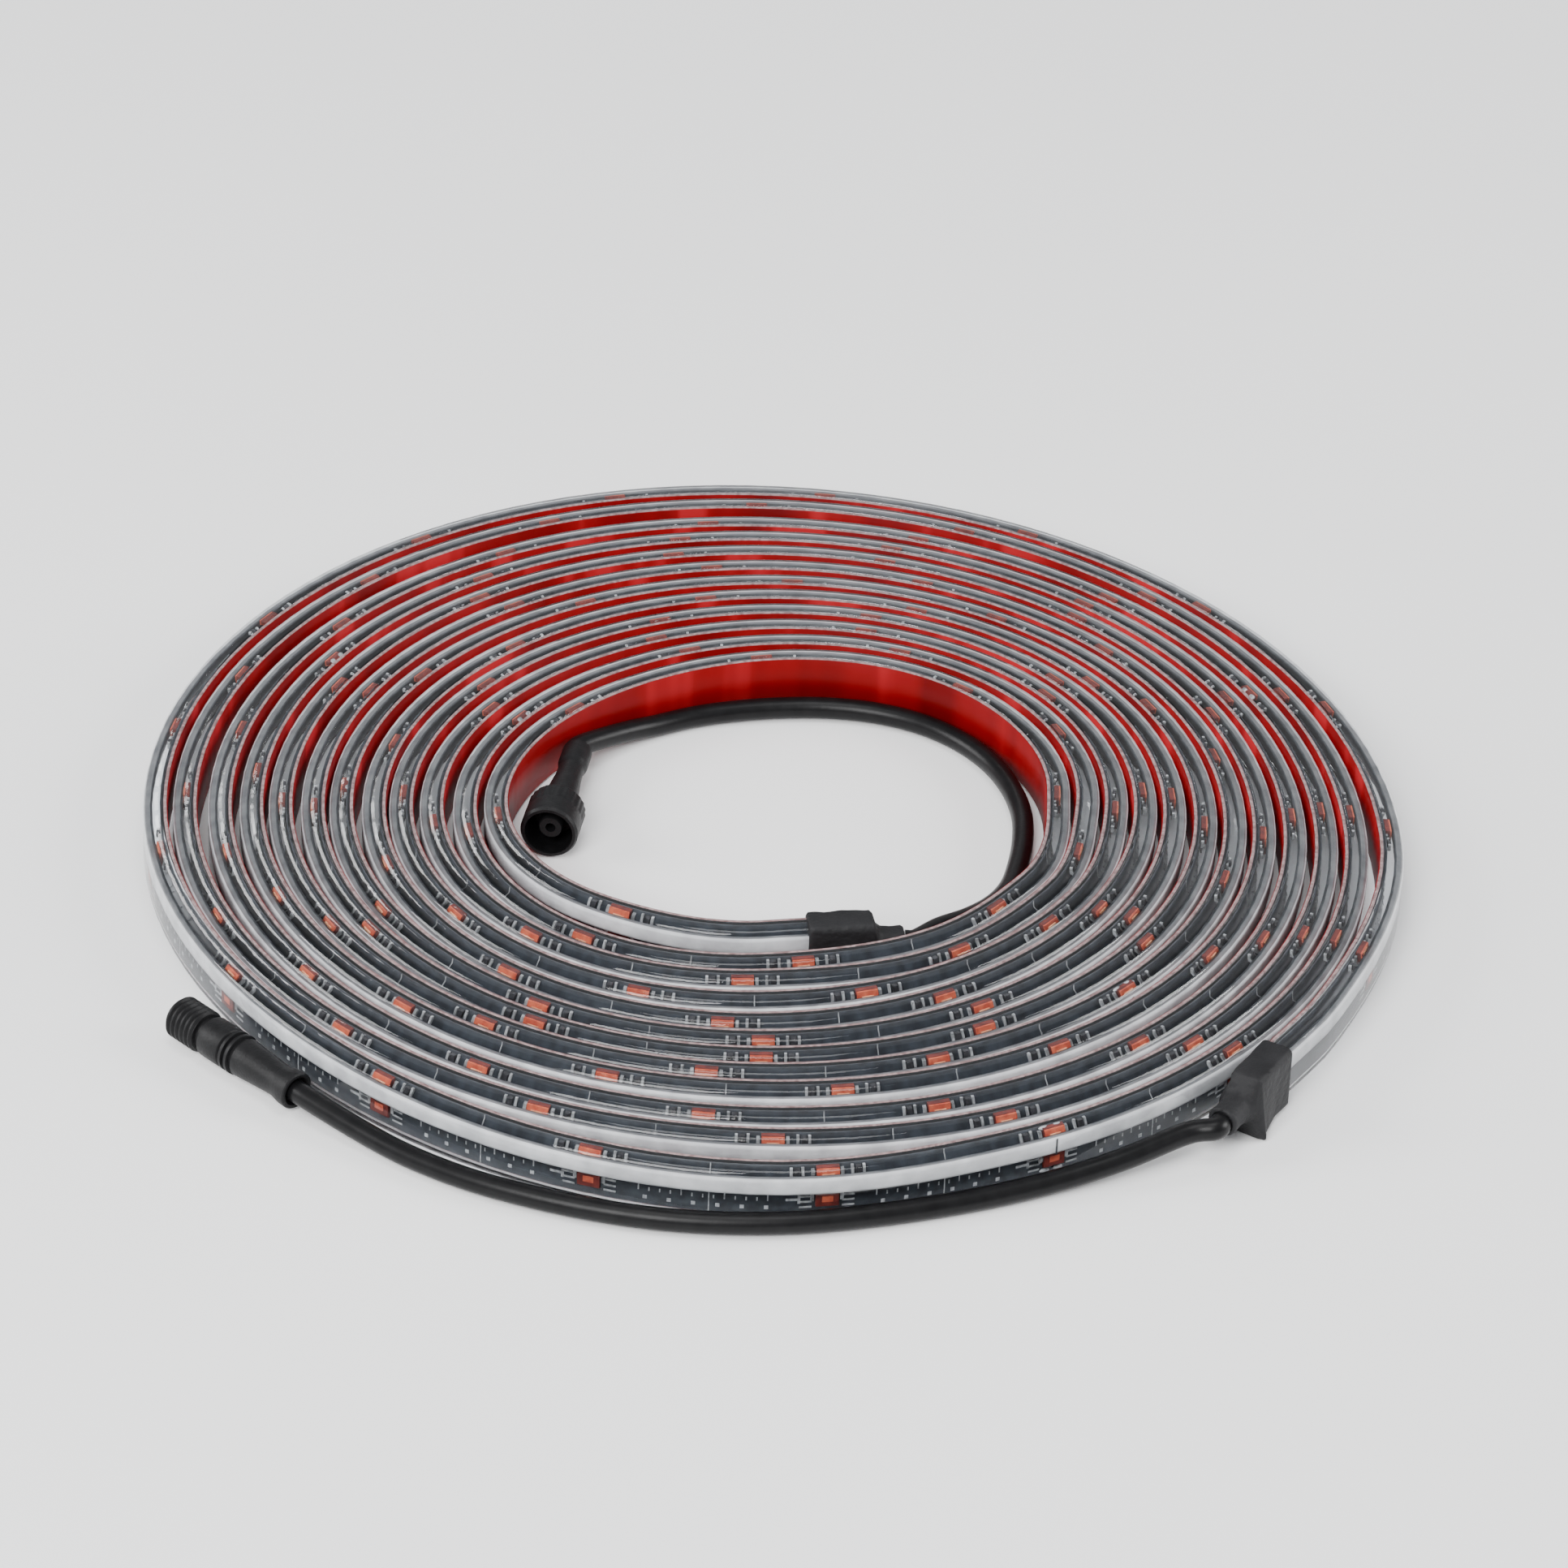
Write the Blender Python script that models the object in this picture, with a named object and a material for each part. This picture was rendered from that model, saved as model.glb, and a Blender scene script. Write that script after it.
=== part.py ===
"""A coil of jacketed LED strip light, lying on its edge, with a lead and a round plug at each end.

Metres, +Z up. The origin is on the floor under the middle of the coil. The strip is wound as a
loose flat spiral: its light face points out and its adhesive tape points in. Angles are in degrees,
counter-clockwise seen from above, from +X. Going that way the spiral winds inwards.
"""

import math

import bmesh
import bpy
import numpy as np
from mathutils import Matrix, Vector

# Strip section: depth runs inwards from the light face, height runs up from the lower edge
STRIP_HEIGHT = 0.0090
JACKET_DEPTH = 0.0032
JACKET_FRONT_WALL = 0.00035
JACKET_BACK_WALL = 0.0003
JACKET_EDGE_WALL = 0.0006
JACKET_FRONT_BEVEL = 0.0009
JACKET_BACK_BEVEL = 0.0003
DIFFUSER_HEIGHT = 0.0020
DIFFUSER_DEPTH = 0.0016
DIFFUSER_RISE = 0.0014
BOARD_THICKNESS = 0.0002
TAPE_MARGIN = 0.0004
TAPE_THICKNESS = 0.0004
LAYER_GAP = 0.00015

# Winding
COIL_RADIUS = 0.0984
TURN_GAP = 0.00116
START_ANGLE = -42.0
STEP_ANGLE = 15.0
STEPS = 286
OVAL = 0.00094
OVAL_PER_TURN = -0.00038
OVAL_ANGLE = -57.5
DRIFT_PER_TURN = (0.00003, 0.0005)

# How far the turns bulge out of the even spiral, chosen by hand by eye: (angle, distance)
BULGES = [
    (-45.0, -0.001),
    (-25.0, -0.0026),
    (0.0, -0.0008),
    (45.0, 0.0),
    (180.0, 0.0),
    (225.0, -0.0015),
    (270.0, -0.0001),
    (295.0, -0.0022),
    (360.0, -0.0005),
    (450.0, 0.0004),
    (540.0, 0.0002),
    (630.0, -0.0026),
    (720.0, -0.00035),
    (810.0, -0.00065),
    (900.0, -0.0004),
    (990.0, -0.0023),
    (1080.0, -0.0004),
    (1170.0, -0.00045),
    (1260.0, -0.00045),
    (1350.0, -0.0032),
    (1440.0, -0.0004),
    (1530.0, -0.00025),
    (1620.0, -0.00015),
    (1710.0, -0.002),
    (1800.0, -0.00015),
    (1890.0, -0.00025),
    (1980.0, -0.00035),
    (2070.0, -0.00055),
    (2160.0, 5e-05),
    (2250.0, -0.0002),
    (2340.0, 5e-05),
    (2430.0, 0.00075),
    (2520.0, 0.0),
    (2610.0, 5e-05),
    (2700.0, -0.0002),
    (2790.0, 0.0018),
    (2880.0, 0.0002),
    (2970.0, 0.0001),
    (3060.0, 0.00035),
    (3150.0, 0.0018),
    (3185.0, 0.0022),
    (3215.0, 0.0018),
    (3240.0, 0.0004),
    (3330.0, 0.0001),
    (3420.0, 0.0004),
    (3510.0, 0.0018),
    (3545.0, 0.00385),
    (3573.0, 0.003),
    (3600.0, 0.00065),
    (3690.0, 0.0),
    (3780.0, -5e-05),
    (3870.0, 0.0031),
    (3908.0, 0.005),
    (3933.0, 0.00405),
    (3965.0, 0.00075),
    (4000.0, -0.0001),
    (4140.0, 0.0),
    (4195.0, -0.0008),
    (4233.0, 0.0014),
    (4263.0, 0.0046),
]

# Shrink-on end caps, each with a pocket for the strip and a neck for the lead
CAP_WALL = 0.0005
CAP_CLEARANCE = 0.0003
CAP_BEVEL = 0.0009
CAP_NECK_RADIUS = 0.0024
CAP_FLARE = 0.0016
OUTER_CAP_COVER = 0.0085
OUTER_CAP_NOSE = 0.0016
OUTER_CAP_NECK = 0.0056
OUTER_CAP_SHIFT = -0.0005
INNER_CAP_COVER = 0.0055
INNER_CAP_NOSE = 0.0045
INNER_CAP_NECK = 0.0048
INNER_CAP_SHIFT = -0.0005
CAP_SHOULDER = 0.0014
OUTER_END_ROOM = 0.0012
OUTER_END_BLEND = 80.0
INNER_END_BLEND = 100.0

# Leads
CORD_RADIUS = 0.0017
CORD_SPACING = 2.4
CORD_GAP = 0.0003
FLOOR_GAP = 0.00005

# Plugs: a profile is a list of (distance from the cable end, radius)
PLUG_RECESS_DEPTH = 0.0012
PLUG_RECESS_GAP = 0.0004
MALE_COLLAR_RADIUS = 0.0029
MALE_NECK_RADIUS = 0.0025
MALE_BODY_RADIUS = 0.0032
MALE_LENGTH = 0.0260
MALE_COLLAR_LENGTH = 0.0016
MALE_NECK_AT = 0.0034
MALE_GRIP_END = 0.0115
MALE_GRIP_TAPER = 0.0002
RING_GROOVES = 2
RING_GROOVES_START = 0.0120
RING_GROOVE_WIDTH = 0.0006
RING_GROOVE_DEPTH = 0.0004
THREAD_RELIEF = 0.0010
THREAD_SHOULDER = 0.0002
THREAD_RADIUS = 0.00335
THREAD_DEPTH = 0.0003
THREAD_PITCH = 0.0010
THREAD_COUNT = 6
MALE_BORE_RADIUS = 0.0024
MALE_BORE_DEPTH = 0.0050
PIN_RADIUS = 0.0007
PIN_LENGTH = 0.0040
FEMALE_COLLAR_RADIUS = 0.0023
FEMALE_NECK_RADIUS = 0.0020
FEMALE_BODY_RADIUS = 0.0026
FEMALE_LENGTH = 0.0220
FEMALE_COLLAR_LENGTH = 0.0046
FEMALE_NECK_AT = 0.0054
FEMALE_STRAIGHT_LENGTH = 0.0030
FLANGE_RADIUS = 0.0033
FLANGE_START = 0.0171
FLANGE_THICKNESS = 0.0010
BARREL_RADIUS = 0.0019
SOCKET_RADIUS = 0.0008
SOCKET_DEPTH = 0.0030
NUT_RADIUS = 0.0045
NUT_LENGTH = 0.0078
NUT_WALL = 0.00075
NUT_BACK_WALL = 0.0010
NUT_CLEARANCE = 0.00035
NUT_CHAMFER = 0.0006

# Where the plugs lie: middle of the cable end from the spiral's centre, and the way they point
MALE_PLUG_AT = (-0.0667, -0.0714)
MALE_PLUG_POINTS = 136.0
FEMALE_PLUG_AT = (-0.0297, 0.0211)
FEMALE_PLUG_POINTS = -98.5

# Lead routes between their two ends, chosen by hand: (angle, radius, height), spiral's centre
OUTER_CORD_ROUTE = [
    (-49.5, 0.0976, 0.0047),
    (-55.5, 0.0962, 0.0034),
    (-61.5, 0.0949, 0.0022),
    (-67.5, 0.0945, 0.00178),
    (-73.0, 0.0947, 0.00176),
    (-79.0, 0.0953, 0.00176),
    (-85.0, 0.0962, 0.00176),
    (-91.0, 0.0969, 0.00176),
    (-97.0, 0.0974, 0.00176),
    (-103.0, 0.0976, 0.00176),
    (-109.0, 0.0977, 0.00176),
    (-115.0, 0.0978, 0.00176),
    (-121.0, 0.0976, 0.0019),
    (-126.5, 0.0973, 0.0024),
]
INNER_CORD_ROUTE = [
    (-42.0, 0.0364, 0.0051),
    (-32.0, 0.0372, 0.0040),
    (-22.0, 0.0380, 0.0028),
    (-12.0, 0.0387, 0.0019),
    (-2.0, 0.0393, 0.00176),
    (8.0, 0.0404, 0.00176),
    (18.0, 0.0419, 0.00176),
    (28.0, 0.0432, 0.00176),
    (38.0, 0.0443, 0.00176),
    (48.0, 0.0448, 0.00176),
    (58.0, 0.0446, 0.00176),
    (68.0, 0.0436, 0.00176),
    (78.0, 0.0421, 0.00176),
    (88.0, 0.0406, 0.00176),
    (98.0, 0.0395, 0.00176),
    (108.0, 0.0388, 0.00176),
    (118.0, 0.0380, 0.0020),
    (128.0, 0.0374, 0.0030),
]

# Facets
CORD_BEVEL_STEPS = 2
CURVE_SAMPLES = 12
PLUG_SIDES = 20

STRIP_DEPTH = JACKET_DEPTH + LAYER_GAP + TAPE_THICKNESS
PITCH = STRIP_DEPTH + TURN_GAP
END_ANGLE = START_ANGLE + STEPS * STEP_ANGLE
POCKET_DEPTH = STRIP_DEPTH + 2 * CAP_CLEARANCE
POCKET_HEIGHT = STRIP_HEIGHT + 2 * CAP_CLEARANCE
END_LIFT = CAP_WALL + CAP_CLEARANCE + FLOOR_GAP


def clear_scene():
    for obj in list(bpy.data.objects):
        bpy.data.objects.remove(obj, do_unlink=True)


def material(name, color, roughness, metallic=0.0, transmission=0.0):
    made = bpy.data.materials.new(name)
    made.use_nodes = True
    shader = made.node_tree.nodes["Principled BSDF"]
    shader.inputs["Base Color"].default_value = (*color, 1.0)
    shader.inputs["Roughness"].default_value = roughness
    shader.inputs["Metallic"].default_value = metallic
    shader.inputs["Transmission Weight"].default_value = transmission
    return made


def add_object(name, data, finish):
    obj = bpy.data.objects.new(name, data)
    data.materials.append(finish)
    bpy.context.scene.collection.objects.link(obj)
    return obj


def mesh_object(name, bm, finish, smooth_angle=40.0):
    bmesh.ops.recalc_face_normals(bm, faces=bm.faces)
    mesh = bpy.data.meshes.new(name)
    bm.to_mesh(mesh)
    bm.free()
    mesh.shade_smooth()
    mesh.set_sharp_from_angle(angle=math.radians(smooth_angle))
    return add_object(name, mesh, finish)


def smoothstep(t):
    t = min(max(t, 0.0), 1.0)
    return t * t * (3.0 - 2.0 * t)


def end_share(angle):
    """1 at an end of the strip, falling smoothly to 0: at the outer end first, then the inner."""
    outer = smoothstep(1.0 - (angle - START_ANGLE - STEP_ANGLE) / OUTER_END_BLEND)
    inner = smoothstep(1.0 - (END_ANGLE - STEP_ANGLE - angle) / INNER_END_BLEND)
    return outer, inner


def bulge(angle):
    """How far the strip stands out of the even spiral, eased between the hand-chosen values."""
    for (angle0, value0), (angle1, value1) in zip(BULGES, BULGES[1:]):
        if angle <= angle1:
            return value0 + (value1 - value0) * smoothstep((angle - angle0) / (angle1 - angle0))
    return BULGES[-1][1]


def spiral_point(angle):
    """Plan position of the light face from the spiral's centre."""
    turns = angle / 360.0
    radius = COIL_RADIUS - PITCH * turns + OUTER_END_ROOM * end_share(angle)[0]
    oval = OVAL + OVAL_PER_TURN * turns
    radius += oval * math.cos(2.0 * math.radians(angle - OVAL_ANGLE)) + bulge(angle)
    a = math.radians(angle)
    drift = Vector((*DRIFT_PER_TURN, 0.0)) * turns
    return drift + Vector((radius * math.cos(a), radius * math.sin(a), 0.0))


def coil_middle():
    """Middle of the coil's box in plan, which is brought to the origin."""
    points = np.array([spiral_point(START_ANGLE + k * STEP_ANGLE)[:2] for k in range(STEPS + 1)])
    x, y = (points.min(axis=0) + points.max(axis=0)) / 2.0
    return Vector((x, y, 0.0))


MIDDLE = coil_middle()


class Station:
    """A cross-section of the strip: a point on the light face's lower edge and the way inwards."""

    def __init__(self, angle):
        a = math.radians(angle)
        self.inwards = Vector((-math.cos(a), -math.sin(a), 0.0))
        self.base = spiral_point(angle) - MIDDLE
        self.base.z = END_LIFT * max(end_share(angle))

    def at(self, depth, height):
        return self.base + self.inwards * depth + Vector((0.0, 0.0, height))


def stations():
    return [Station(START_ANGLE + k * STEP_ANGLE) for k in range(STEPS + 1)]


def rectangle(depth0, depth1, height0, height1, front_bevel=0.0, back_bevel=0.0):
    """Section outline; a bevel above zero cuts the two corners at that depth."""
    outline = []
    corners = [(depth0, height0, 1, 1, front_bevel), (depth0, height1, 1, -1, front_bevel)]
    corners += [(depth1, height1, -1, -1, back_bevel), (depth1, height0, -1, 1, back_bevel)]
    for number, (d, h, into_d, into_h, cut) in enumerate(corners):
        along_d = (d + into_d * cut, h)
        along_h = (d, h + into_h * cut)
        pair = [along_d, along_h] if number % 2 == 0 else [along_h, along_d]
        outline += pair if cut > 0.0 else [(d, h)]
    return outline


def join_rings(bm, first, second):
    count = len(first)
    for i in range(count):
        j = (i + 1) % count
        bm.faces.new((first[i], first[j], second[j], second[i]))


def close_mouth(bm, bevelled, plain):
    """The flat end between a bevelled rectangle of eight points and the plain one inside it."""
    for k in range(4):
        bm.faces.new((bevelled[2 * k], bevelled[2 * k + 1], plain[k]))
        after = (k + 1) % 4
        bm.faces.new((bevelled[2 * k + 1], bevelled[2 * after], plain[after], plain[k]))


def close_end(bm, outside, inside):
    """The flat end between two rings of as many points, each piece cut along its shorter way."""
    for i in range(len(outside)):
        j = (i + 1) % len(outside)
        a, b, c, d = outside[i], outside[j], inside[j], inside[i]
        if (a.co - c.co).length < (b.co - d.co).length:
            bm.faces.new((a, b, c))
            bm.faces.new((a, c, d))
        else:
            bm.faces.new((a, b, d))
            bm.faces.new((b, c, d))


def strip_layer(name, outline, finish, channel=None):
    """Sweeps a section along the whole strip. With a channel it is a tube, open at both ends."""
    bm = bmesh.new()
    ends = []
    for section in [outline] + ([channel] if channel else []):
        rings = [[bm.verts.new(s.at(d, h)) for d, h in section] for s in stations()]
        for first, second in zip(rings, rings[1:]):
            join_rings(bm, first, second)
        ends.append((rings[0], rings[-1]))
    if channel:
        for outside, inside in zip(*ends):
            close_end(bm, outside, inside)
    else:
        bm.faces.new(ends[0][0])
        bm.faces.new(ends[0][1])
    return mesh_object(name, bm, finish)


def channel_outline(front, step, back, low, rod_low, rod_high, high):
    """The jacket's T-shaped channel, its points in the order of a bevelled rectangle's."""
    stem = [(step, rod_low), (front, rod_low), (front, rod_high), (step, rod_high)]
    return stem + [(step, high), (back, high), (back, low), (step, low)]


def build_strip(finishes):
    channel_back = JACKET_DEPTH - JACKET_BACK_WALL
    channel_top = STRIP_HEIGHT - JACKET_EDGE_WALL
    board_back = channel_back - LAYER_GAP
    board_front = board_back - BOARD_THICKNESS
    rod_front = JACKET_FRONT_WALL + LAYER_GAP
    rod_low = (STRIP_HEIGHT - DIFFUSER_HEIGHT) / 2.0 + DIFFUSER_RISE
    rod_high = rod_low + DIFFUSER_HEIGHT
    strip_layer(
        "clear_jacket",
        rectangle(0.0, JACKET_DEPTH, 0.0, STRIP_HEIGHT, JACKET_FRONT_BEVEL, JACKET_BACK_BEVEL),
        finishes["jacket"],
        channel_outline(
            JACKET_FRONT_WALL,
            board_front - LAYER_GAP,
            channel_back,
            JACKET_EDGE_WALL,
            rod_low - LAYER_GAP,
            rod_high + LAYER_GAP,
            channel_top,
        ),
    )
    strip_layer(
        "diffuser_rod",
        rectangle(rod_front, rod_front + DIFFUSER_DEPTH, rod_low, rod_high),
        finishes["diffuser"],
    )
    strip_layer(
        "circuit_board",
        rectangle(board_front, board_back, JACKET_EDGE_WALL + LAYER_GAP, channel_top - LAYER_GAP),
        finishes["board"],
    )
    tape_front = JACKET_DEPTH + LAYER_GAP
    strip_layer(
        "backing_tape",
        rectangle(tape_front, tape_front + TAPE_THICKNESS, TAPE_MARGIN, STRIP_HEIGHT - TAPE_MARGIN),
        finishes["tape"],
    )


class CapFrame:
    """Axes at an end of the strip: along points out of the strip, inwards to the coil's middle."""

    def __init__(self, end, neighbour):
        self.along = (end.base - neighbour.base).normalized()
        self.along.z = 0.0
        self.along.normalize()
        self.inwards = Vector((-self.along.y, self.along.x, 0.0))
        if self.inwards.dot(end.inwards) < 0.0:
            self.inwards.negate()
        self.base = end.base

    def at(self, along, depth, height):
        return self.base + self.along * along + self.inwards * depth + Vector((0.0, 0.0, height))


def neck_outline(middle, radius, count):
    """The neck's section, with its points in the order of a bevelled rectangle's."""
    outline = []
    for i in range(count):
        a = math.radians(-112.5 - 45.0 * i)
        outline.append((middle[0] + radius * math.cos(a), middle[1] + radius * math.sin(a)))
    return outline


def build_cap(name, frame, cover, nose, neck, shift, flare, finish):
    """A shrunk boot: a pocket over the strip's end, a closed nose and a neck for the lead.

    The neck lies at the strip's middle, moved out of the coil by shift. Gives the lead's start.
    """
    margin = CAP_CLEARANCE + CAP_WALL
    block = rectangle(
        -margin, STRIP_DEPTH + margin, -margin, STRIP_HEIGHT + margin, CAP_BEVEL, CAP_BEVEL
    )
    flared = [(d - flare, h) if h < 0.0 and d < STRIP_DEPTH / 2.0 else (d, h) for d, h in block]
    pocket = rectangle(
        -CAP_CLEARANCE,
        -CAP_CLEARANCE + POCKET_DEPTH,
        -CAP_CLEARANCE,
        -CAP_CLEARANCE + POCKET_HEIGHT,
    )
    pocket_end = STRIP_DEPTH * math.sin(math.radians(STEP_ANGLE / 2.0)) + CAP_CLEARANCE
    middle = (STRIP_DEPTH / 2.0 - shift, STRIP_HEIGHT / 2.0)
    round_neck = neck_outline(middle, CAP_NECK_RADIUS, len(block))
    outside = [
        (-cover, block),
        (0.0, block),
        (nose, flared),
        (nose + CAP_SHOULDER, round_neck),
        (nose + neck, round_neck),
    ]
    bm = bmesh.new()
    rings = [[bm.verts.new(frame.at(s, d, h)) for d, h in outline] for s, outline in outside]
    for first, second in zip(rings, rings[1:]):
        join_rings(bm, first, second)
    bm.faces.new(rings[-1])
    inside = [[bm.verts.new(frame.at(s, d, h)) for d, h in pocket] for s in (-cover, pocket_end)]
    join_rings(bm, *inside)
    bm.faces.new(inside[1])
    close_mouth(bm, rings[0], inside[0])
    mesh_object(name, bm, finish)
    return frame.at(nose + neck + CORD_GAP, *middle), frame.along


def turned(name, profile, place, finish):
    """A turned body from (distance, radius) points that start and end on the axis."""
    bm = bmesh.new()
    rings = []
    for distance, radius in profile:
        if radius == 0.0:
            rings.append([bm.verts.new((0.0, 0.0, distance))])
            continue
        ring = []
        for i in range(PLUG_SIDES):
            a = 2.0 * math.pi * i / PLUG_SIDES
            ring.append(bm.verts.new((radius * math.cos(a), radius * math.sin(a), distance)))
        rings.append(ring)
    for first, second in zip(rings, rings[1:]):
        if len(first) == 1 or len(second) == 1:
            tip, ring = (first[0], second) if len(first) == 1 else (second[0], first)
            for i in range(PLUG_SIDES):
                bm.faces.new((tip, ring[i - 1], ring[i]))
        else:
            join_rings(bm, first, second)
    obj = mesh_object(name, bm, finish)
    obj.matrix_world = place
    return obj


def turned_ring(name, profile, place, finish):
    """A turned body with a hole along its axis: the profile closes on itself."""
    bm = bmesh.new()
    rings = []
    for distance, radius in profile:
        ring = []
        for i in range(PLUG_SIDES):
            a = 2.0 * math.pi * i / PLUG_SIDES
            ring.append(bm.verts.new((radius * math.cos(a), radius * math.sin(a), distance)))
        rings.append(ring)
    for first, second in zip(rings, rings[1:] + rings[:1]):
        join_rings(bm, first, second)
    obj = mesh_object(name, bm, finish)
    obj.matrix_world = place
    return obj


def plug_place(at, points, height):
    """Turns a plug's own axis, +Z from its cable end, to lie level and point the given way."""
    turn = Matrix.Rotation(math.radians(points), 4, "Z") @ Matrix.Rotation(math.pi / 2.0, 4, "Y")
    return Matrix.Translation(Vector((*at, height)) - MIDDLE) @ turn


def build_male_plug(finishes):
    """The outer lead's plug: a flared cable collar, a tapered grip, ring grooves and a thread."""
    place = plug_place(MALE_PLUG_AT, MALE_PLUG_POINTS, THREAD_RADIUS + FLOOR_GAP)
    recess_radius = CORD_RADIUS + PLUG_RECESS_GAP
    thread_start = MALE_LENGTH - THREAD_COUNT * THREAD_PITCH
    profile = [(PLUG_RECESS_DEPTH, 0.0), (PLUG_RECESS_DEPTH, recess_radius), (0.0, recess_radius)]
    profile += [(0.0, MALE_COLLAR_RADIUS), (MALE_COLLAR_LENGTH, MALE_COLLAR_RADIUS)]
    profile += [(MALE_NECK_AT, MALE_NECK_RADIUS), (MALE_GRIP_END, MALE_BODY_RADIUS - MALE_GRIP_TAPER)]
    for k in range(RING_GROOVES):
        s = RING_GROOVES_START + 2.0 * k * RING_GROOVE_WIDTH
        profile += [(s, MALE_BODY_RADIUS - RING_GROOVE_DEPTH), (s + RING_GROOVE_WIDTH, MALE_BODY_RADIUS)]
    relief = thread_start - THREAD_RELIEF
    profile += [(relief - THREAD_SHOULDER, MALE_BODY_RADIUS), (relief, MALE_NECK_RADIUS)]
    profile += [(thread_start, MALE_NECK_RADIUS)]
    for k in range(THREAD_COUNT):
        s = thread_start + k * THREAD_PITCH
        profile += [(s + 0.25 * THREAD_PITCH, THREAD_RADIUS), (s + 0.5 * THREAD_PITCH, THREAD_RADIUS)]
        profile += [(s + 0.75 * THREAD_PITCH, THREAD_RADIUS - THREAD_DEPTH)]
    profile += [(MALE_LENGTH, THREAD_RADIUS - THREAD_DEPTH), (MALE_LENGTH, MALE_BORE_RADIUS)]
    profile += [(MALE_LENGTH - MALE_BORE_DEPTH, MALE_BORE_RADIUS), (MALE_LENGTH - MALE_BORE_DEPTH, 0.0)]
    turned("outer_plug_body", profile, place, finishes["plug"])
    seat = MALE_LENGTH - MALE_BORE_DEPTH + CORD_GAP
    pin = [(seat, 0.0), (seat, PIN_RADIUS), (seat + PIN_LENGTH, PIN_RADIUS), (seat + PIN_LENGTH, 0.0)]
    turned("outer_plug_pin", pin, place, finishes["brass"])
    return place


def build_female_plug(finishes):
    """The inner lead's plug: a cable collar, a tapered grip, a flange and a socket barrel."""
    place = plug_place(FEMALE_PLUG_AT, FEMALE_PLUG_POINTS, NUT_RADIUS + FLOOR_GAP)
    recess_radius = CORD_RADIUS + PLUG_RECESS_GAP
    flange_end = FLANGE_START + FLANGE_THICKNESS
    profile = [(PLUG_RECESS_DEPTH, 0.0), (PLUG_RECESS_DEPTH, recess_radius), (0.0, recess_radius)]
    profile += [(0.0, FEMALE_COLLAR_RADIUS), (FEMALE_COLLAR_LENGTH, FEMALE_COLLAR_RADIUS)]
    profile += [(FEMALE_NECK_AT, FEMALE_NECK_RADIUS)]
    profile += [(FLANGE_START - FEMALE_STRAIGHT_LENGTH, FEMALE_BODY_RADIUS)]
    profile += [(FLANGE_START, FEMALE_BODY_RADIUS), (FLANGE_START, FLANGE_RADIUS)]
    profile += [(flange_end, FLANGE_RADIUS), (flange_end, BARREL_RADIUS)]
    profile += [(FEMALE_LENGTH, BARREL_RADIUS), (FEMALE_LENGTH, SOCKET_RADIUS)]
    profile += [(FEMALE_LENGTH - SOCKET_DEPTH, SOCKET_RADIUS), (FEMALE_LENGTH - SOCKET_DEPTH, 0.0)]
    turned("inner_plug_body", profile, place, finishes["plug"])
    nut_start = FLANGE_START - NUT_CLEARANCE - NUT_BACK_WALL
    hole = FEMALE_BODY_RADIUS + NUT_CLEARANCE
    inner = NUT_RADIUS - NUT_WALL
    ring = [(nut_start, hole), (nut_start, NUT_RADIUS - NUT_CHAMFER)]
    ring += [(nut_start + NUT_CHAMFER, NUT_RADIUS)]
    ring += [(nut_start + NUT_LENGTH, NUT_RADIUS), (nut_start + NUT_LENGTH, inner)]
    ring += [(nut_start + NUT_BACK_WALL, inner), (nut_start + NUT_BACK_WALL, hole)]
    turned_ring("coupling_nut", ring, place, finishes["plug"])
    return place


def polar(angle, radius, height):
    """A lead's route point, from its angle and radius about the spiral's centre."""
    a = math.radians(angle)
    return Vector((radius * math.cos(a), radius * math.sin(a), height)) - MIDDLE


def smooth_curve(points, samples):
    """Points of a Catmull-Rom curve through the route, closely spaced."""
    points = [2.0 * points[0] - points[1]] + points + [2.0 * points[-1] - points[-2]]
    curve = []
    for a, b, c, d in zip(points, points[1:], points[2:], points[3:]):
        for k in range(samples):
            t = k / samples
            curve.append(
                0.5
                * (
                    2.0 * b
                    + (c - a) * t
                    + (2.0 * a - 5.0 * b + 4.0 * c - d) * t * t
                    + (3.0 * b - a - 3.0 * c + d) * t * t * t
                )
            )
    curve.append(points[-2])
    return curve


def evenly(curve, spacing):
    """The same curve with points about the given distance apart, and both its ends kept."""
    lengths = np.array([(b - a).length for a, b in zip(curve, curve[1:])])
    along = np.concatenate([[0.0], np.cumsum(lengths)])
    count = max(int(round(along[-1] / spacing)), 2)
    wanted = np.linspace(0.0, along[-1], count + 1)
    columns = [np.interp(wanted, along, [p[axis] for p in curve]) for axis in range(3)]
    return [Vector(p) for p in zip(*columns)]


def build_cord(name, start, start_way, route, plug, finish):
    """A lead from its cap's neck, along the route, straight into its plug's recess."""
    stub = CORD_RADIUS
    end = plug @ Vector((0.0, 0.0, PLUG_RECESS_DEPTH - CORD_GAP))
    before = plug @ Vector((0.0, 0.0, -stub))
    points = [start, start + start_way * stub] + [polar(*p) for p in route] + [before, end]
    data = bpy.data.curves.new(name, "CURVE")
    data.dimensions = "3D"
    data.bevel_depth = CORD_RADIUS
    data.bevel_resolution = CORD_BEVEL_STEPS
    data.use_fill_caps = True
    curve = smooth_curve(points, CURVE_SAMPLES)[CURVE_SAMPLES:-CURVE_SAMPLES]
    path = [start] + evenly(curve, CORD_SPACING * 2.0 * CORD_RADIUS) + [end]
    spline = data.splines.new("POLY")
    spline.points.add(len(path) - 1)
    for spot, position in zip(spline.points, path):
        spot.co = (*position, 1.0)
    add_object(name, data, finish)


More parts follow.
